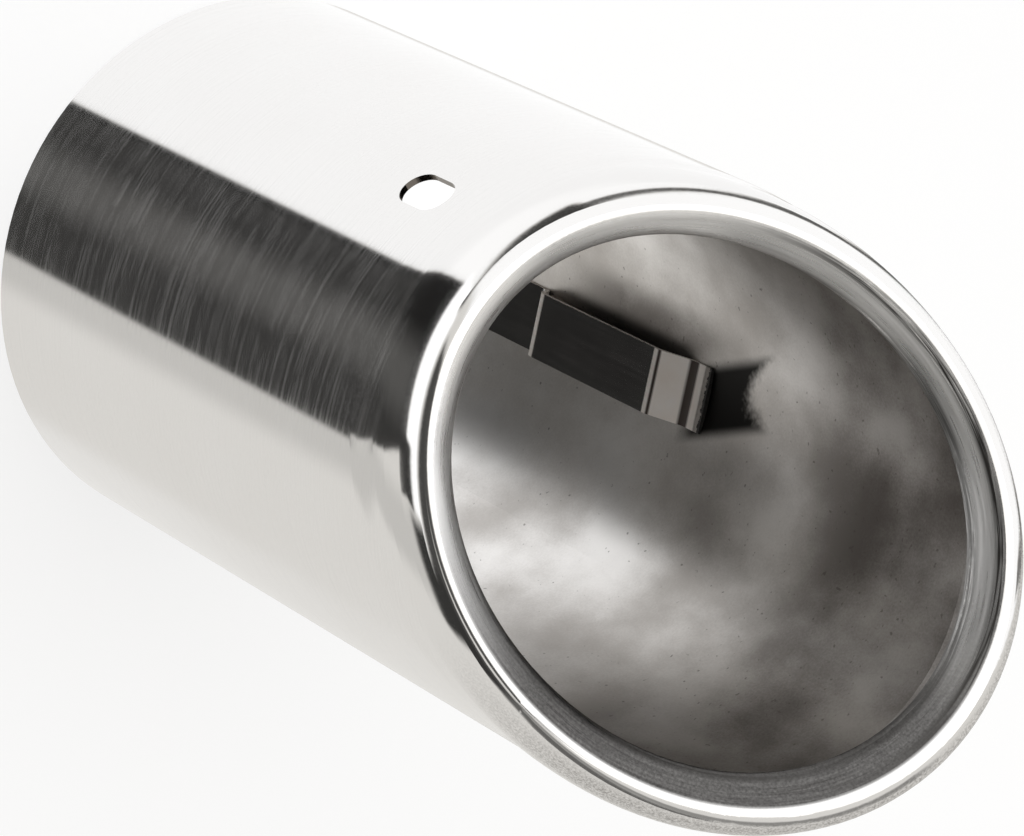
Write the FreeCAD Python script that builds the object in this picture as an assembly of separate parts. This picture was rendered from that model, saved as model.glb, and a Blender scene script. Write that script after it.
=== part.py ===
import FreeCAD, Part
import math
import os

# Clip-on exhaust tip: a slant-cut sheet-steel sleeve with its outlet edge rolled inward,
# and three folded spring clips that grip the tail pipe inside it.
# Millimetres. The rear edge stands on z = 0, the tube's axis is +Z, and +X is the long side.

# Sleeve
TUBE_DIAMETER = 84.0
SHEET_THICKNESS = 1.0
AXIS_LENGTH = 132.8
SLANT_ANGLE = 27.5
REAR_DEBURR = 0.3

# Rolled lip, measured across the sheet's outer face in the slanted plane of the crest
SHOULDER_WIDTH = 3.6
SHOULDER_HEIGHT = 7.5
RETURN_WIDTH = 4.6
RETURN_DEPTH = 2.8
RETURN_END_ANGLE = 60.0
FLARE_LENGTH = 5.0
LONG_SIDE_BULGE = 3.0

# How far each end of a lip curve keeps its direction, as a share of the way to the curve's corner
WALL_HOLD = 0.3
CREST_HOLD = 0.57
RETURN_HOLD = 0.22

# Strips that the flare, the shoulder and the return are made in, which keeps their meshes light
SEEN_STRIPS = (1, 4, 1)
HIDDEN_STRIPS = (3, 6, 2)

# Slotted hole near the short side, set back from the crest there to the slot's middle
SLOT_LENGTH = 10.3
SLOT_WIDTH = 6.1
SLOT_SETBACK = 22.4
SLOT_ANGLE = 173.5

# Spring clips, which bridge the gap between the bore and the tail pipe
PIPE_GAP = 3.0
CLIP_GRIP = 0.5
CLIP_COUNT = 3
FIRST_CLIP_ANGLE = 41.0
CLIP_WIDTH = 10.0
STRIP_THICKNESS = 0.7
BEND_RADIUS = 2.4
CLIP_START = 8.0
PAD_LENGTH = 16.5
RISER_RUN = 2.0
PANEL_LENGTH = 33.0
RAMP_RUN = 6.0
FOOT_LENGTH = 4.5

# Worked out from the sizes above
TUBE_RADIUS = TUBE_DIAMETER / 2
BORE_RADIUS = TUBE_RADIUS - SHEET_THICKNESS
PIPE_DIAMETER = 2 * (BORE_RADIUS - PIPE_GAP)
CLIP_HEIGHT = BORE_RADIUS - PIPE_DIAMETER / 2 + CLIP_GRIP
SLANT = math.radians(SLANT_ANGLE)
RETURN_END = math.radians(RETURN_END_ANGLE)
SLOT_HEIGHT = AXIS_LENGTH - TUBE_RADIUS * math.tan(SLANT) - SLOT_SETBACK

UP = FreeCAD.Vector(0, 0, 1)
ACROSS = FreeCAD.Vector(0, 1, 0)
ALONG_SLANT = FreeCAD.Vector(math.cos(SLANT), 0, math.sin(SLANT))
OUT_OF_SLANT = FreeCAD.Vector(-math.sin(SLANT), 0, math.cos(SLANT))
CREST_CENTRE = UP * AXIS_LENGTH

# The weight of a corner pole, which makes each quarter of a ring a true arc
CORNER_WEIGHT = math.sqrt(0.5)


def slanted_ring(inset, centre):
    """A ring parallel to the crest plane, as its centre and its two half axes."""
    half_length = TUBE_RADIUS / math.cos(SLANT) - inset
    half_width = TUBE_RADIUS - inset
    return centre, ALONG_SLANT * half_length, ACROSS * half_width


def tube_ring(radius, depth):
    """The ring in which a cylinder about the axis meets a plane this deep below the crest plane."""
    centre = CREST_CENTRE - UP * (depth / math.cos(SLANT))
    return centre, ALONG_SLANT * (radius / math.cos(SLANT)), ACROSS * radius


def bulged_ring(radius, depth):
    """A ring of the tube that stands out on the long side, and keeps to the wall on the short one."""
    centre, half_length, half_width = tube_ring(radius, depth)
    growth = ALONG_SLANT * (LONG_SIDE_BULGE / 2)
    return centre + growth, half_length + growth, half_width


def moved(ring, shift):
    """The same ring, moved without turning it."""
    centre, half_length, half_width = ring
    return centre + shift, half_length, half_width


def blend_rings(start, end, share):
    """A ring part of the way from one ring to another."""
    return tuple(a + (b - a) * share for a, b in zip(start, end))


def ring_poles(ring):
    """The nine poles of the closed rational curve that follows a ring."""
    centre, half_length, half_width = ring
    corners = [(1, 0), (1, 1), (0, 1), (-1, 1), (-1, 0), (-1, -1), (0, -1), (1, -1), (1, 0)]
    return [centre + half_length * x + half_width * y for x, y in corners]


def skin(rings, strips):
    """Sheet through four control rings, a cubic from the first to the last, as smoothly joined strips."""
    poles = [ring_poles(ring) for ring in rings]
    row_weights = [CORNER_WEIGHT if column % 2 else 1.0 for column in range(len(poles[0]))]
    faces = []
    for strip in range(strips):
        surface = Part.BSplineSurface()
        surface.buildFromPolesMultsKnots(
            poles, [4, 4], [3, 2, 2, 2, 3], [0, 1], [0, 1, 2, 3, 4], False, False, 3, 2,
            [row_weights] * len(rings))
        surface.segment(strip / strips, (strip + 1) / strips, 0, 4)
        faces.append(surface.toShape())
    return faces


def ring_on(rings, share):
    """The ring that a skin through these control rings passes at this share of its way."""
    while len(rings) > 1:
        rings = [blend_rings(start, end, share) for start, end in zip(rings, rings[1:])]
    return rings[0]


def plain_skin(rings, strips):
    """The same sheet in conical strips, for the side that faces into the lip."""
    cuts = [ring_on(rings, strip / strips) for strip in range(strips + 1)]
    return [band_between(start, end) for start, end in zip(cuts, cuts[1:])]


def rolled(start, corner, end, start_hold, end_hold):
    """Control rings that leave one ring towards the corner ring, turn, and arrive from it at the last."""
    return [start, blend_rings(start, corner, start_hold), blend_rings(end, corner, end_hold), end]


def lip_curves(depth_into_sheet):
    """The control rings of the flare, the shoulder and the return on one side of the sheet."""
    radius = TUBE_RADIUS - depth_into_sheet
    crest_level = CREST_CENTRE - OUT_OF_SLANT * depth_into_sheet
    edge_inset = SHOULDER_WIDTH + RETURN_WIDTH - depth_into_sheet * math.sin(RETURN_END)
    edge_drop = UP * RETURN_DEPTH + OUT_OF_SLANT * (depth_into_sheet * math.cos(RETURN_END))
    handle = UP * (FLARE_LENGTH / 2)

    tube_end = tube_ring(radius, SHOULDER_HEIGHT + FLARE_LENGTH)
    wall = bulged_ring(radius, SHOULDER_HEIGHT)
    crest = slanted_ring(SHOULDER_WIDTH, crest_level)
    edge = slanted_ring(edge_inset, CREST_CENTRE - edge_drop)

    flare = [tube_end, moved(tube_end, handle), moved(wall, -handle), wall]
    shoulder = rolled(wall, bulged_ring(radius, depth_into_sheet), crest, WALL_HOLD, CREST_HOLD)
    rolled_return = rolled(crest, slanted_ring(edge_inset, crest_level), edge, RETURN_HOLD, RETURN_HOLD)
    return flare, shoulder, rolled_return


def ring_edge(ring):
    """The closed edge that follows a ring."""
    curve = Part.BSplineCurve()
    weights = [CORNER_WEIGHT if column % 2 else 1.0 for column in range(9)]
    curve.buildFromPolesMultsKnots(ring_poles(ring), [3, 2, 2, 2, 3], [0, 1, 2, 3, 4], False, 2, weights)
    return curve.toShape()


def band_between(outer_ring, inner_ring):
    """The face of straight lines from one ring to another."""
    return Part.makeRuledSurface(ring_edge(outer_ring), ring_edge(inner_ring))


def rolled_lip():
    """The flared, rolled end of the sleeve, from the end of its straight tube to the sheet's edge."""
    outside = lip_curves(0.0)
    inside = lip_curves(SHEET_THICKNESS)
    faces = [band_between(outside[0][0], inside[0][0]), band_between(outside[-1][-1], inside[-1][-1])]
    for rings, strips in zip(outside, SEEN_STRIPS):
        faces += skin(rings, strips)
    for rings, strips in zip(inside, HIDDEN_STRIPS):
        faces += plain_skin(rings, strips)
    shell = Part.makeShell(faces)
    shell.sewShape()
    return Part.makeSolid(shell)


def straight_tube():
    """The straight part of the sleeve, with its rear edge deburred and its front cut on the slant."""
    tall = AXIS_LENGTH + TUBE_DIAMETER
    tube = Part.makeCylinder(TUBE_RADIUS, tall).cut(Part.makeCylinder(BORE_RADIUS, tall))
    rear_edges = [edge for edge in tube.Edges if edge.BoundBox.ZMax < SHEET_THICKNESS]
    tube = tube.makeChamfer(REAR_DEBURR, rear_edges)
    cutter = Part.makeBox(2 * tall, 2 * tall, tall, FreeCAD.Vector(-tall, -tall, 0))
    cutter.rotate(FreeCAD.Vector(0, 0, 0), ACROSS, -SLANT_ANGLE)
    cut_depth = (SHOULDER_HEIGHT + FLARE_LENGTH) / math.cos(SLANT)
    cutter.translate(CREST_CENTRE - UP * cut_depth)
    return tube.cut(cutter)


def slot_cutter():
    """A round-ended bar that punches the slot through one wall."""
    end_radius = SLOT_WIDTH / 2
    reach = TUBE_RADIUS / 2
    half_straight = (SLOT_LENGTH - SLOT_WIDTH) / 2
    start = FreeCAD.Vector(TUBE_RADIUS - reach / 2, 0, SLOT_HEIGHT)
    outward = FreeCAD.Vector(1, 0, 0)
    bar = Part.makeBox(reach, SLOT_WIDTH, 2 * half_straight, start - ACROSS * end_radius - UP * half_straight)
    for side in (-1, 1):
        bar = bar.fuse(Part.makeCylinder(end_radius, reach, start + UP * (side * half_straight), outward))
    bar = bar.removeSplitter()
    bar.rotate(FreeCAD.Vector(0, 0, 0), UP, SLOT_ANGLE)
    return bar


def tip_sleeve():
    """The sleeve: straight tube and rolled lip as one sheet, with the slot through its short side."""
    return straight_tube().fuse(rolled_lip()).cut(slot_cutter()).removeSplitter()


def clip_path():
    """Corners of the strip's wall-side face, as points (distance along the tube, height off the wall)."""
    raised = CLIP_HEIGHT - STRIP_THICKNESS
    stations = [CLIP_START]
    for run in (PAD_LENGTH, RISER_RUN, PANEL_LENGTH, RAMP_RUN, FOOT_LENGTH):
        stations.append(stations[-1] + run)
    return list(zip(stations, (0, 0, raised, raised, 0, 0)))


def rounded_wire(corners, radii):
    """An open wire through the corners, with an arc of its own radius at each inner corner."""
    edges = []
    last = corners[0]
    for before, corner, after, radius in zip(corners, corners[1:], corners[2:], radii):
        back = (before - corner).normalize()
        ahead = (after - corner).normalize()
        half_angle = back.getAngle(ahead) / 2
        setback = radius / math.tan(half_angle)
        middle = corner + (back + ahead).normalize() * (radius / math.sin(half_angle) - radius)
        start, end = corner + back * setback, corner + ahead * setback
        edges.append(Part.makeLine(last, start))
        edges.append(Part.Arc(start, middle, end).toShape())
        last = end
    edges.append(Part.makeLine(last, corners[-1]))
    return Part.Wire(edges)


def clip_section():
    """The strip's side profile as a face of even thickness, in the plane of the axis."""
    wall_side = [FreeCAD.Vector(BORE_RADIUS - height, 0, along) for along, height in clip_path()]
    outer_bend = BEND_RADIUS + STRIP_THICKNESS
    wire = rounded_wire(wall_side, [outer_bend, BEND_RADIUS, BEND_RADIUS, outer_bend])
    return wire.makeOffset2D(STRIP_THICKNESS, 0, True, True)


def spring_clip(angle):
    """One folded clip: welded pad, riser, raised panel, ramp and foot, bedded on the bore."""
    strip = clip_section()
    strip.translate(ACROSS * (-CLIP_WIDTH / 2))
    strip = strip.extrude(ACROSS * CLIP_WIDTH)
    strip = strip.common(Part.makeCylinder(BORE_RADIUS, AXIS_LENGTH))
    strip.rotate(FreeCAD.Vector(0, 0, 0), UP, angle)
    return strip


def main():
    os.makedirs("parts", exist_ok=True)
    tip_sleeve().exportStep("parts/tip_sleeve.step")
    for number in range(CLIP_COUNT):
        angle = FIRST_CLIP_ANGLE + number * 360 / CLIP_COUNT
        spring_clip(angle).exportStep(f"parts/spring_clip_{number + 1}.step")


main()
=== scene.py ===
import math

import bpy
from mathutils import Matrix, Vector

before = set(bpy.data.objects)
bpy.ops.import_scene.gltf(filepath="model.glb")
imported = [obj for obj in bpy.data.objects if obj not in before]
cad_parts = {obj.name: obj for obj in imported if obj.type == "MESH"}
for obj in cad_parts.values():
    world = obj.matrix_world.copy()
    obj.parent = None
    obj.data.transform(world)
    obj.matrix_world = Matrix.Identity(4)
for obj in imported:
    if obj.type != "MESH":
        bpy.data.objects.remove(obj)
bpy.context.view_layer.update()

MM = 0.001

# Sizes of the part that the finishes follow, in metres, with angles in radians
TUBE_RADIUS = 42 * MM
AXIS_LENGTH = 132.8 * MM
SLANT = math.radians(27.5)
LIP_DEPTH = 8.5 * MM
CREST_INSET = 3.6 * MM
RETURN_DEPTH = 4.5 * MM

# Where the return starts and ends, as shares of the way from the middle of the outlet to the crest
RETURN_START = 0.985
RETURN_END = 0.88

# Clips: how many, the direction of the first from the axis, and the heights of their bends and ends
CLIP_COUNT = 3
CLIP_ANGLE = math.radians(41)
PANEL_START = 27.7 * MM
RAMP_START = 59.3 * MM
FOOT_START = 65.3 * MM
CLIP_END = 70 * MM

# Sides of the tube, as directions from the axis: one carries scuffs, two carry painted shade on the return
SCUFFED_SIDE = (-0.83867, -0.54464, 0)
LOW_SIDE = (0.71, -0.71, 0)
FAR_SIDE = (0.574, 0.818, 0)

# Shading reliefs that steepen the return and the ramp
RETURN_RELIEF = -0.7 * MM
RAMP_RELIEF = 1.6 * MM

# Black patch of painted shadow past a clip: its drift round the bore in radians for each metre, its
# length in the middle, and how fast it grows longer to its sides
LEE_DRIFT = 8.7
LEE_LENGTH = 14 * MM
LEE_NOTCH = 70 * MM

# Camera: the direction from the object to the lens, how far it is turned about that line, and its aim
CAMERA_AZIMUTH = math.radians(-67.96)
CAMERA_ELEVATION = math.radians(53.41)
CAMERA_ROLL = math.radians(117.44)
CAMERA_DISTANCE = 0.819
CAMERA_AIM = Vector((0.00264, -0.00139, 0.07793))
LENS_LENGTH = 200.39

# Floor: half its side, its whiteness to the light, and what the camera and reflections see of it, a
# faint surface that keeps the shadow and a glow
FLOOR_HALF_SIDE = 3.0
FLOOR_WHITE = 0.8
FLOOR_FAINT = 0.3
FLOOR_GLOW = 0.72

# Overhead lamp: its direction in degrees, distance, side, and the radiance that its face shows
OVERHEAD_AZIMUTH = 147
OVERHEAD_ELEVATION = 68
OVERHEAD_DISTANCE = 1.6
OVERHEAD_SIDE = 2.0
OVERHEAD_WHITE = 0.55

# Room: its grey as a radiance, where 1 is white, and the warmth of its greys in each channel
STUDIO_GREY = 0.78
ROOM_WARMTH = (1.0, 0.98, 0.94)

# What stands round the tip, later ones in front: name, azimuth and half width, elevation and half
# height, softness, all in degrees, the slopes of its level and its upright edges, and its radiance
SURROUNDINGS = (
    ("white table", 107, 67, -55, 40, 3, 0, 0, 1.07),
    ("table close by", 357, 34, -81, 22, 18, 0, 0, 0.98),
    ("white wall", 111, 63, 22, 55, 6, 0, 0, 1.15),
    ("far edge of the table", 98, 80, -27.5, 2.3, 2, 0.31, 0, 0.1),
    ("dark beyond the table", 158, 21, -8, 6, 4, 0.38, 0, 0.05),
    ("grey wall to the right", 312, 60, 42, 9, 10, 0, 0, 0.3),
    ("dark corner", 283, 32, 24, 9, 8, 0, 0, 0.14),
    ("dark wall by the camera", 224, 38, 23, 13, 5, 0, 0, 0.07),
    ("dark above the camera", 215, 30, 46, 9, 6, 0.5, 0, 0.08),
    ("dark beside the softbox", 251, 14, 3, 20, 6, 0, 0, 0.04),
    ("grey beside the dark room", 249, 11, -50, 34, 12, 0, 0, 0.62),
    ("dark room under the camera", 198.5, 24, -55, 38, 1, 0, 0, 0.015),
    ("dark room, its right side", 219, 13, -36, 20, 2, 0, -0.55, 0.04),
    ("dark room, low down", 212, 34, -75, 22, 3, 0, 0, 0.04),
    ("lighter middle of the room", 207.5, 10, -55, 34, 16, 0, 0, 0.1),
    ("front softbox", 206, 30, -5, 12, 3, 0, 0.45, 1.3),
    ("dark notch", 227, 8, -16, 5.5, 2, 0, 0, 0.04),
    ("dark edge of the wall", 45, 3, -5, 42, 3, 0, 0.25, 0.22),
)


def towards(azimuth, elevation):
    """The unit vector in a direction, in degrees round from +X and above the floor."""
    turn = math.radians(azimuth)
    rise = math.radians(elevation)
    return Vector((math.cos(turn) * math.cos(rise), math.sin(turn) * math.cos(rise), math.sin(rise)))


def link(thing):
    bpy.context.scene.collection.objects.link(thing)
    return thing


def add_camera():
    """The camera at the photograph's angle: a long lens, rolled so that the tube lies across the frame."""
    flat = math.cos(CAMERA_ELEVATION)
    back = Vector((
        math.sin(CAMERA_AZIMUTH) * flat,
        -math.cos(CAMERA_AZIMUTH) * flat,
        math.sin(CAMERA_ELEVATION),
    ))
    level = Vector((0, 0, 1)).cross(back).normalized()
    right = level * math.cos(CAMERA_ROLL) + back.cross(level) * math.sin(CAMERA_ROLL)
    axes = Matrix((right, back.cross(right), back)).transposed().to_4x4()
    data = bpy.data.cameras.new("camera")
    data.lens = LENS_LENGTH
    camera = link(bpy.data.objects.new("camera", data))
    camera.matrix_world = Matrix.Translation(CAMERA_AIM + back * CAMERA_DISTANCE) @ axes
    bpy.context.scene.camera = camera


class Finish:
    """A material, built in short steps that each return the socket they make."""

    def __init__(self, name):
        self.material = bpy.data.materials.new(name)
        self.material.use_nodes = True
        self.tree = self.material.node_tree
        self.shader = self.tree.nodes["Principled BSDF"]
        self.place = self.node("ShaderNodeTexCoord").outputs["Object"]

    def node(self, kind, **settings):
        made = self.tree.nodes.new(kind)
        for name, value in settings.items():
            setattr(made, name, value)
        return made

    def put(self, socket, value):
        """Links a socket into an input, or sets the input's own value."""
        if isinstance(value, bpy.types.NodeSocket):
            self.tree.links.new(value, socket)
        else:
            socket.default_value = value

    def math(self, operation, first, second=0.0):
        made = self.node("ShaderNodeMath", operation=operation)
        self.put(made.inputs[0], first)
        self.put(made.inputs[1], second)
        return made.outputs[0]

    def vector(self, operation, *values):
        made = self.node("ShaderNodeVectorMath", operation=operation)
        for socket, value in zip(made.inputs, values):
            self.put(socket, value)
        return made.outputs["Value" if operation in ("DOT_PRODUCT", "LENGTH") else "Vector"]

    def stretched(self, across, along):
        """The place on the part, scaled across and along the tube's axis, so that grain runs round it."""
        return self.vector("MULTIPLY", self.place, (across, across, along))

    def noise(self, vector, detail, roughness=0.5):
        made = self.node("ShaderNodeTexNoise")
        self.put(made.inputs["Vector"], vector)
        made.inputs["Scale"].default_value = 1.0
        made.inputs["Detail"].default_value = detail
        made.inputs["Roughness"].default_value = roughness
        return made.outputs["Fac"]

    def spread(self, value, low, high, to_low=0.0, to_high=1.0, smooth=False):
        """The value carried from one range to another, and held at its ends."""
        made = self.node("ShaderNodeMapRange", interpolation_type="SMOOTHSTEP" if smooth else "LINEAR")
        for name, setting in (("Value", value), ("From Min", low), ("From Max", high),
                              ("To Min", to_low), ("To Max", to_high)):
            self.put(made.inputs[name], setting)
        return made.outputs[0]

    def mix(self, share, first, second):
        made = self.node("ShaderNodeMix", data_type="FLOAT")
        self.put(made.inputs[0], share)
        self.put(made.inputs[2], first)
        self.put(made.inputs[3], second)
        return made.outputs[0]

    def blend(self, share, first, second):
        made = self.node("ShaderNodeMix", data_type="RGBA")
        self.put(made.inputs[0], share)
        self.put(made.inputs[6], first)
        self.put(made.inputs[7], second)
        return made.outputs[2]

    def bump(self, height, depth, before=None):
        made = self.node("ShaderNodeBump")
        made.inputs["Distance"].default_value = depth
        self.put(made.inputs["Height"], height)
        if before is not None:
            self.put(made.inputs["Normal"], before)
        return made.outputs["Normal"]

    def both(self, first, second):
        return self.math("MULTIPLY", first, second)

    def either(self, first, second):
        return self.math("MAXIMUM", first, second)

    def span(self, value, low, high, soft):
        """1 between two values, falling to 0 over a softness at each end."""
        return self.both(self.spread(value, low - soft / 2, low + soft / 2),
                         self.spread(value, high + soft / 2, high - soft / 2))

    def axis_part(self, direction):
        """How far the place lies along a direction."""
        return self.vector("DOT_PRODUCT", self.place, direction)

    def height(self):
        return self.axis_part((0, 0, 1))

    def turn(self):
        """How far round the axis the place lies, in radians from +X."""
        return self.math("ARCTAN2", self.axis_part((0, 1, 0)), self.axis_part((1, 0, 0)))

    def facing(self):
        """How far a face looks away from the tube's axis: 1 straight out, -1 straight in."""
        normal = self.node("ShaderNodeNewGeometry").outputs["Normal"]
        outward = self.vector("NORMALIZE", self.vector("MULTIPLY", self.place, (1, 1, 0)))
        return self.vector("DOT_PRODUCT", normal, outward)

    def below_crest(self):
        """How far the place lies below the slanted plane of the lip's crest, in metres."""
        level = self.axis_part((-math.sin(SLANT), 0, math.cos(SLANT)))
        return self.math("SUBTRACT", AXIS_LENGTH * math.cos(SLANT), level)

    def rim_ring(self):
        """1 on the lip's crest, less on the rings inside it and more on those outside."""
        along = self.math("ADD", self.axis_part((math.cos(SLANT), 0, math.sin(SLANT))),
                          -AXIS_LENGTH * math.sin(SLANT))
        along = self.math("DIVIDE", along, TUBE_RADIUS / math.cos(SLANT) - CREST_INSET)
        across = self.math("DIVIDE", self.axis_part((0, 1, 0)), TUBE_RADIUS - CREST_INSET)
        squares = self.math("ADD", self.math("POWER", along, 2.0), self.math("POWER", across, 2.0))
        return self.math("SQRT", squares)

    def rim_lines(self, ring):
        """A vector that changes across the lip and hardly along it, for lines that follow the rim."""
        across, along = 130, 90
        made = self.node("ShaderNodeCombineXYZ")
        self.put(made.inputs[0], self.math("MULTIPLY", ring, across))
        self.put(made.inputs[1], self.axis_part((along, 0, 0)))
        self.put(made.inputs[2], self.axis_part((0, along, 0)))
        return made.outputs[0]

    def off_clips(self, turn, degrees=0.0):
        """1 along a line beside each clip, at an angle from its middle, and less to the line's sides."""
        past = self.math("SUBTRACT", turn, CLIP_ANGLE + math.radians(degrees))
        return self.math("COSINE", self.math("MULTIPLY", past, CLIP_COUNT))

    def soot_and_shade(self, depth, patches):
        """Soot, more towards the outlet, and dark marks beside each clip and past it; the one beside each
        clip is painted shadow of the clip.
        """
        turn = self.turn()
        along_clip = self.span(self.height(), 35 * MM, 72 * MM, 18 * MM)
        # Dark beside each clip: painted shadow of the clip on the bore
        shade_beside_clip = self.both(self.spread(self.off_clips(turn, 6.5), 0.78, 0.96, smooth=True), along_clip)
        past_clip = self.span(self.height(), 66 * MM, 100 * MM, 24 * MM)
        trail = self.both(self.spread(self.off_clips(turn, -19), 0.6, 0.97, smooth=True), past_clip)
        outlet = self.spread(depth, 60 * MM, 30 * MM, smooth=True)
        ragged = self.spread(patches, 0.0, 1.0, 1.0, 0.72)
        clip_shade_and_trail = self.either(self.both(shade_beside_clip, 0.85), self.both(trail, 0.6))
        return self.both(self.either(clip_shade_and_trail, outlet), ragged)

    def clip_shadow(self, patches, specks):
        """The black patch of painted shadow that starts at each clip's end, notched and ragged, and drifts
        to one side.
        """
        past_end = self.math("SUBTRACT", self.height(), CLIP_END)
        drift = self.math("MULTIPLY", past_end, LEE_DRIFT)
        middle = self.off_clips(self.math("SUBTRACT", self.turn(), drift))
        notch = self.math("MULTIPLY", self.math("SUBTRACT", middle, 1.0), LEE_NOTCH)
        ragged = self.math("ADD", self.both(patches, 14 * MM), self.both(specks, 3 * MM))
        reach = self.math("ADD", past_end, self.math("ADD", ragged, notch))
        far_end = self.spread(reach, LEE_LENGTH + 5.5 * MM, LEE_LENGTH, smooth=True)
        near_end = self.spread(past_end, -6 * MM, -2 * MM)
        return self.both(self.spread(middle, 0.885, 0.955, smooth=True), self.both(far_end, near_end))

    def done(self, colour, roughness, normal, metallic, anisotropy=0.0):
        """Plugs the looks into the shader; a brushed surface stretches its highlights across the grain."""
        self.put(self.shader.inputs["Base Color"], colour)
        self.put(self.shader.inputs["Roughness"], roughness)
        self.put(self.shader.inputs["Normal"], normal)
        self.put(self.shader.inputs["Metallic"], metallic)
        if anisotropy:
            quarter_turn = 0.25
            tangent = self.node("ShaderNodeTangent", direction_type="RADIAL", axis="Z")
            self.put(self.shader.inputs["Tangent"], tangent.outputs[0])
            self.put(self.shader.inputs["Anisotropic"], anisotropy)
            self.put(self.shader.inputs["Anisotropic Rotation"], quarter_turn)
        return self.material


def sleeve_finish():
    """Brushed round the tube, polished or grainy on the lip, mottled and darkened by soot inside, with
    painted shadow by the clips and painted shade on two sides of the return.
    """
    finish = Finish("sleeve_steel")
    facing = finish.facing()
    depth = finish.below_crest()
    ring = finish.rim_ring()
    near_crest = finish.math("LESS_THAN", depth, RETURN_DEPTH)
    turned_in = finish.both(finish.spread(ring, RETURN_START + 0.008, RETURN_START - 0.008), near_crest)
    past_return = finish.math("GREATER_THAN", depth, RETURN_DEPTH)
    bore = finish.both(finish.math("LESS_THAN", facing, -0.5), past_return)
    sheared = finish.both(finish.math("LESS_THAN", finish.math("ABSOLUTE", facing), 0.5),
                          finish.math("GREATER_THAN", depth, LIP_DEPTH))
    lip = finish.spread(depth, LIP_DEPTH, LIP_DEPTH / 2, smooth=True)
    long_side = finish.spread(finish.axis_part((1, 0, 0)), -15 * MM, 20 * MM, smooth=True)
    low_side = finish.spread(finish.axis_part(LOW_SIDE), -5 * MM, 28 * MM, smooth=True)
    grainy = finish.both(finish.both(long_side, lip), finish.spread(ring, 1.03, 1.06))

    threads = finish.noise(finish.stretched(22, 2700), detail=2, roughness=0.7)
    broken = finish.noise(finish.stretched(190, 500), detail=2, roughness=0.6)
    round_rim = finish.noise(finish.rim_lines(ring), detail=2, roughness=0.6)
    patches = finish.noise(finish.stretched(50, 40), detail=4, roughness=0.5)
    specks = finish.noise(finish.stretched(1100, 1100), detail=1)
    grain = finish.noise(finish.stretched(2600, 2600), detail=2, roughness=0.6)
    mottle = finish.spread(finish.mix(0.12, patches, grain), 0.32, 0.68, smooth=True)
    # Painted shade in a band under the crest on the far side, and a darker line along the return's inner
    # edge
    far_side = finish.spread(finish.axis_part(FAR_SIDE), 2 * MM, 30 * MM, smooth=True)
    under_crest = finish.both(far_side, finish.span(ring, 0.95, 0.985, 0.02))
    inner_edge = finish.both(finish.spread(ring, 0.905, 0.89), 0.7)
    far_shade_and_inner_edge = finish.both(finish.either(under_crest, inner_edge), finish.spread(round_rim, 0.3, 0.55))

    bright = finish.blend(patches, (0.82, 0.81, 0.8, 1), (0.86, 0.855, 0.85, 1))
    pitted = finish.blend(finish.spread(grain, 0.35, 0.65), (0.36, 0.35, 0.34, 1), (0.76, 0.75, 0.74, 1))
    clean = finish.blend(mottle, (0.6, 0.575, 0.55, 1), (0.94, 0.925, 0.91, 1))
    stain_and_shade = finish.blend(mottle, (0.14, 0.127, 0.118, 1), (0.26, 0.245, 0.23, 1))
    # Soot on the bore, with painted shadow beside each clip
    soot_and_shade = finish.soot_and_shade(depth, mottle)
    dull = finish.blend(soot_and_shade, clean, stain_and_shade)
    flakes = finish.spread(finish.math("ADD", specks, finish.both(soot_and_shade, 0.05)), 0.74, 0.8)
    spotted = finish.blend(finish.both(flakes, 0.6), dull, (0.12, 0.11, 0.1, 1))
    # The black patch past each clip is painted shadow
    soot_and_clip_shadow = finish.blend(finish.clip_shadow(patches, specks), spotted, (0.006, 0.0055, 0.005, 1))
    rubbed = finish.blend(round_rim, (0.86, 0.85, 0.835, 1), (0.99, 0.98, 0.97, 1))
    # The return on the low side gets this darker colour as painted shade
    shaded_low_side = finish.blend(finish.both(grain, round_rim), (0.03, 0.028, 0.027, 1), (0.4, 0.39, 0.38, 1))
    outer = finish.blend(sheared, finish.blend(grainy, bright, pitted), (0.2, 0.18, 0.16, 1))
    rolled_in = finish.blend(far_shade_and_inner_edge, finish.blend(low_side, rubbed, shaded_low_side), (0.06, 0.057, 0.054, 1))
    colour = finish.blend(turned_in, finish.blend(bore, outer, soot_and_clip_shadow), rolled_in)

    brushed = finish.spread(threads, 0.3, 0.7, 0.06, 0.11)
    polished = finish.spread(grain, 0.3, 0.7, 0.06, 0.1)
    satin = finish.spread(round_rim, 0.3, 0.7, 0.25, 0.36)
    mill = finish.mix(mottle, 0.42, 0.32)
    outside = finish.mix(lip, brushed, finish.mix(grainy, polished, 0.24))
    roughness = finish.mix(turned_in, finish.mix(bore, outside, mill), satin)

    hairs = finish.both(finish.spread(threads, 0.42, 0.66), finish.spread(broken, 0.34, 0.58))
    scuffed = finish.spread(finish.axis_part(SCUFFED_SIDE), 40.5 * MM, TUBE_RADIUS)
    scuffs = finish.both(finish.spread(grain, 0.56, 0.66), scuffed)
    scuffs = finish.both(scuffs, finish.span(depth, 8 * MM, 17 * MM, 6 * MM))
    hairlines = finish.spread(finish.either(hairs, scuffs), 0.0, 1.0, 0.99, 0.91)
    metallic = finish.mix(finish.either(finish.either(lip, bore), sheared), hairlines, 1.0)

    steeper = finish.both(finish.spread(ring, RETURN_START, RETURN_END), near_crest)
    relief = finish.bump(steeper, RETURN_RELIEF)
    rough = finish.either(grainy, finish.both(turned_in, 0.3))
    relief = finish.bump(finish.both(grain, rough), 0.03 * MM, relief)
    return finish.done(colour, roughness, relief, metallic, anisotropy=0.5)


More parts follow.
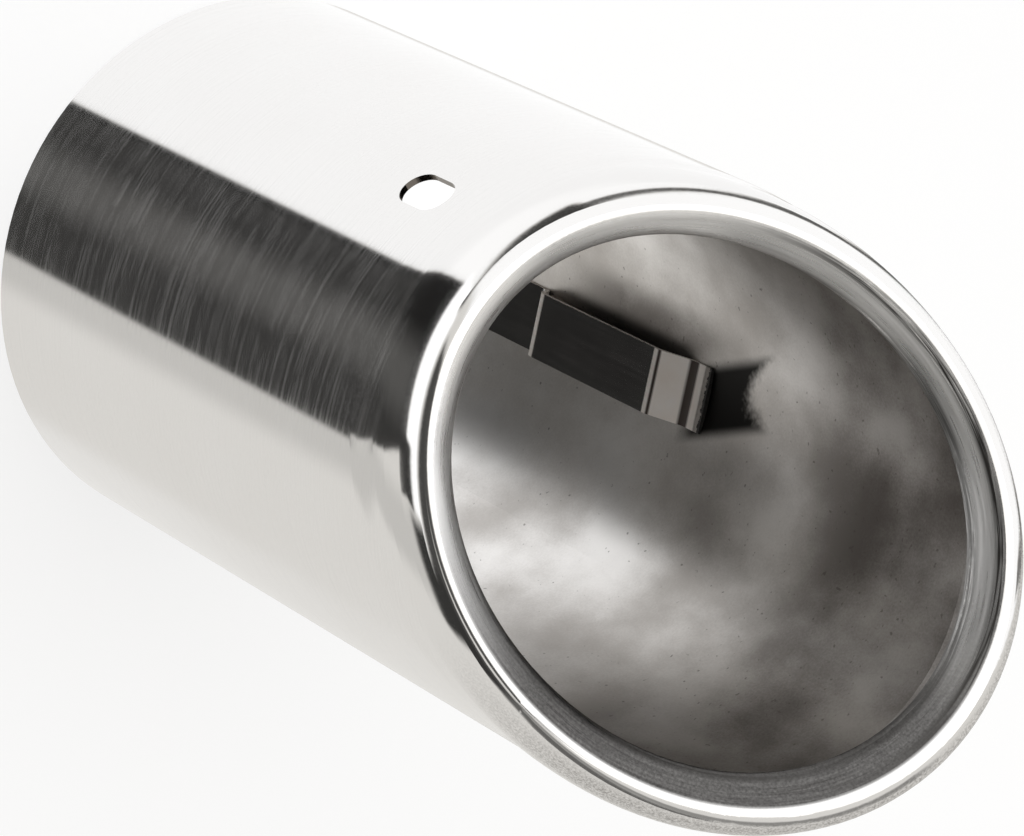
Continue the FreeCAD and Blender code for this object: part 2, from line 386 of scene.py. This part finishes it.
def clip_finish():
    """Spring strip: a smooth dark panel, bends, ramp and sides painted pale as highlights, painted shade
    in their creases, a torn grey end with a painted black shadow over its tip.
    """
    finish = Finish("clip_steel")
    height = finish.height()
    lines = finish.noise(finish.stretched(1600, 70), detail=3)
    stains = finish.noise(finish.stretched(200, 200), detail=4)
    torn = finish.noise(finish.stretched(900, 900), detail=3, roughness=0.7)
    end = finish.spread(height, CLIP_END - 1.7 * MM, CLIP_END - 1.4 * MM)
    bend = finish.span(height, PANEL_START - 3 * MM, PANEL_START, 0.3 * MM)
    past_panel = finish.spread(height, RAMP_START - 0.8 * MM, RAMP_START - 0.6 * MM)
    side = finish.math("LESS_THAN", finish.math("ABSOLUTE", finish.facing()), 0.4)
    # Bends, ramp, foot and side faces, painted pale and matt as highlights
    lit_bends_and_sides = finish.either(finish.either(bend, past_panel), side)
    # Painted shade in the creases of the bends, but not on the side faces
    crease = finish.span(height, RAMP_START + 0.25 * MM, RAMP_START + 0.85 * MM, 0.3 * MM)
    hollow = finish.span(height, FOOT_START - 0.5 * MM, FOOT_START + 1.4 * MM, 0.5 * MM)
    shaded_creases = finish.both(finish.either(crease, hollow), finish.math("SUBTRACT", 1.0, side))
    # The tip is painted black along a ragged line, the same painted shadow as the patch past the clip, so
    # that the end's outline looks torn
    ragged = finish.math("ADD", height, finish.both(torn, 2 * MM))
    shadowed_tip = finish.spread(ragged, CLIP_END + 0.4 * MM, CLIP_END + 0.5 * MM)

    dark = finish.blend(stains, (0.3, 0.295, 0.29, 1), (0.44, 0.43, 0.42, 1))
    # Pale warm colour that stands in for the highlights on the bends, ramp and sides: painted highlight
    warm = finish.blend(finish.spread(stains, 0.35, 0.65), (0.96, 0.89, 0.83, 1), (1.0, 0.96, 0.92, 1))
    # Painted highlights on the bends, ramp and sides, painted shade in the creases, the stained dark panel
    # elsewhere
    painted_light_and_shade = finish.blend(shaded_creases, finish.blend(lit_bends_and_sides, dark, warm), (0.055, 0.04, 0.034, 1))
    grey = finish.blend(torn, (0.2, 0.18, 0.165, 1), (0.55, 0.52, 0.49, 1))
    # Painted black shadow over the tip
    colour = finish.blend(shadowed_tip, finish.blend(end, painted_light_and_shade, grey), (0.012, 0.011, 0.01, 1))
    smooth = finish.spread(lines, 0.3, 0.7, 0.05, 0.1)
    roughness = finish.either(finish.mix(lit_bends_and_sides, smooth, 0.3), finish.both(finish.either(end, shaded_creases), 0.5))
    metallic = finish.mix(lit_bends_and_sides, 1.0, 0.0)
    relief = finish.bump(finish.spread(height, RAMP_START, FOOT_START, 1.0, 0.0), RAMP_RELIEF)
    relief = finish.bump(lines, 0.0005 * MM, relief)
    relief = finish.bump(finish.both(torn, end), 0.3 * MM, relief)
    return finish.done(colour, roughness, relief, metallic)


def flat_mesh(name, corners, material):
    """A flat sheet through its corners."""
    mesh = bpy.data.meshes.new(name)
    mesh.from_pydata(corners, [], [tuple(range(len(corners)))])
    mesh.materials.append(material)
    sheet = link(bpy.data.objects.new(name, mesh))
    return sheet


def floor_finish():
    """Pale and matt, and white to the camera and to reflections, with the object's shadow kept."""
    floor = Finish("floor_white")
    matt = floor.node("ShaderNodeBsdfDiffuse")
    matt.inputs["Color"].default_value = (FLOOR_WHITE, FLOOR_WHITE, FLOOR_WHITE, 1)
    faint = floor.node("ShaderNodeBsdfDiffuse")
    faint.inputs["Color"].default_value = (FLOOR_FAINT, FLOOR_FAINT, FLOOR_FAINT, 1)
    within_bore = floor.spread(floor.vector("LENGTH", floor.place), TUBE_RADIUS, TUBE_RADIUS - MM)
    glow = floor.blend(within_bore, (FLOOR_GLOW, FLOOR_GLOW, FLOOR_GLOW, 1), (1, 1, 1, 1))
    white = floor.node("ShaderNodeEmission")
    floor.put(white.inputs["Color"], glow)
    lit = floor.node("ShaderNodeAddShader")
    floor.put(lit.inputs[0], faint.outputs[0])
    floor.put(lit.inputs[1], white.outputs[0])
    path = floor.node("ShaderNodeLightPath").outputs
    reflected = floor.either(path["Is Glossy Ray"], path["Is Transmission Ray"])
    seen = floor.either(path["Is Camera Ray"], reflected)
    mix = floor.node("ShaderNodeMixShader")
    floor.put(mix.inputs[0], seen)
    floor.put(mix.inputs[1], matt.outputs[0])
    floor.put(mix.inputs[2], lit.outputs[0])
    output = floor.tree.nodes["Material Output"]
    floor.put(output.inputs["Surface"], mix.outputs[0])
    return floor.material


def add_floor():
    """The floor takes the shadow, and the metal sees the studio past it."""
    half = FLOOR_HALF_SIDE
    corners = [(-half, -half, 0), (half, -half, 0), (half, half, 0), (-half, half, 0)]
    floor = flat_mesh("floor", corners, floor_finish())
    floor.visible_glossy = False
    floor.visible_shadow = False


class Studio(Finish):
    """The world: an even grey room with soft white and dark patches, placed by direction."""

    def __init__(self):
        self.world = bpy.data.worlds.new("studio")
        self.world.use_nodes = True
        self.tree = self.world.node_tree
        self.place = self.node("ShaderNodeTexCoord").outputs["Generated"]
        axes = self.node("ShaderNodeSeparateXYZ")
        self.put(axes.inputs[0], self.place)
        self.round = self.tripled(self.math("ARCTAN2", axes.outputs[1], axes.outputs[0]))
        self.rise = self.tripled(self.math("ARCSINE", axes.outputs[2]))

    def tripled(self, value):
        """A vector that holds the value three times, to work out three patches at once."""
        made = self.node("ShaderNodeCombineXYZ")
        for socket in made.inputs:
            self.put(socket, value)
        return made.outputs[0]

    def within(self, offsets, halves, softs):
        """1 within half of the middle, falling to 0 over the softness about that edge."""
        made = self.node("ShaderNodeMapRange", data_type="FLOAT_VECTOR", interpolation_type="SMOOTHSTEP")
        value, outer, inner = made.inputs[6:9]
        self.put(value, self.vector("ABSOLUTE", offsets))
        self.put(outer, [half + soft / 2 for half, soft in zip(halves, softs)])
        self.put(inner, [half - soft / 2 for half, soft in zip(halves, softs)])
        return made.outputs[1]

    def slanted(self, offsets, others, slopes):
        """The offsets across edges that slant with the offsets the other way."""
        if not any(slopes):
            return offsets
        return self.vector("MULTIPLY_ADD", others, [-slope for slope in slopes], offsets)

    def patches(self, rows):
        """How far each of up to three soft-edged patches covers a direction."""
        columns = list(zip(*(rows * 3)[:3]))
        azimuths, widths, elevations, heights, softs = (
            [math.radians(angle) for angle in column] for column in columns[1:6])
        climbs, leans = columns[6:8]
        turns = self.vector("SUBTRACT", self.round, azimuths)
        turns = self.vector("WRAP", turns, (math.pi,) * 3, (-math.pi,) * 3)
        lifts = self.vector("SUBTRACT", self.rise, elevations)
        across = self.within(self.slanted(turns, lifts, leans), widths, softs)
        upward = self.within(self.slanted(lifts, turns, climbs), heights, softs)
        covers = self.node("ShaderNodeSeparateXYZ")
        self.put(covers.inputs[0], self.vector("MULTIPLY", across, upward))
        return covers.outputs

    def fill(self):
        """Lays the patches over each other, and shows the camera plain white behind the floor."""
        radiance = STUDIO_GREY
        for first in range(0, len(SURROUNDINGS), 3):
            rows = SURROUNDINGS[first:first + 3]
            for row, cover in zip(rows, self.patches(rows)):
                radiance = self.mix(cover, radiance, row[-1])
        seen = self.node("ShaderNodeLightPath").outputs["Is Camera Ray"]
        background = self.tree.nodes["Background"]
        self.put(background.inputs["Color"], self.blend(seen, self.grey(radiance), (1, 1, 1, 1)))
        bpy.context.scene.world = self.world

    def grey(self, radiance):
        """The room's greys are a little warm, and its whites are not."""
        colour = self.node("ShaderNodeCombineColor")
        white = self.spread(radiance, STUDIO_GREY, 1.0)
        for channel, warmth in zip(colour.inputs, ROOM_WARMTH):
            self.put(channel, self.math("MULTIPLY", radiance, self.mix(white, warmth, 1.0)))
        return colour.outputs[0]


def add_overhead():
    """A large soft lamp that faces the outlet."""
    data = bpy.data.lights.new("overhead", "AREA")
    data.shape = "RECTANGLE"
    data.size = OVERHEAD_SIDE
    data.size_y = OVERHEAD_SIDE
    data.energy = OVERHEAD_WHITE * math.pi * OVERHEAD_SIDE ** 2
    lamp = link(bpy.data.objects.new("overhead", data))
    back = towards(OVERHEAD_AZIMUTH, OVERHEAD_ELEVATION)
    lamp.location = Vector((0, 0, AXIS_LENGTH)) + back * OVERHEAD_DISTANCE
    lamp.rotation_mode = "QUATERNION"
    lamp.rotation_quaternion = (-back).to_track_quat("-Z", "Y")


def dress():
    """The CAD nodes keep their shapes and get their finishes."""
    sleeve = sleeve_finish()
    clip = clip_finish()
    for name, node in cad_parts.items():
        node.material_slots[0].link = "OBJECT"
        node.material_slots[0].material = sleeve if name == "tip_sleeve" else clip


bpy.context.scene.view_settings.view_transform = "Standard"
add_camera()
add_floor()
Studio().fill()
add_overhead()
dress()
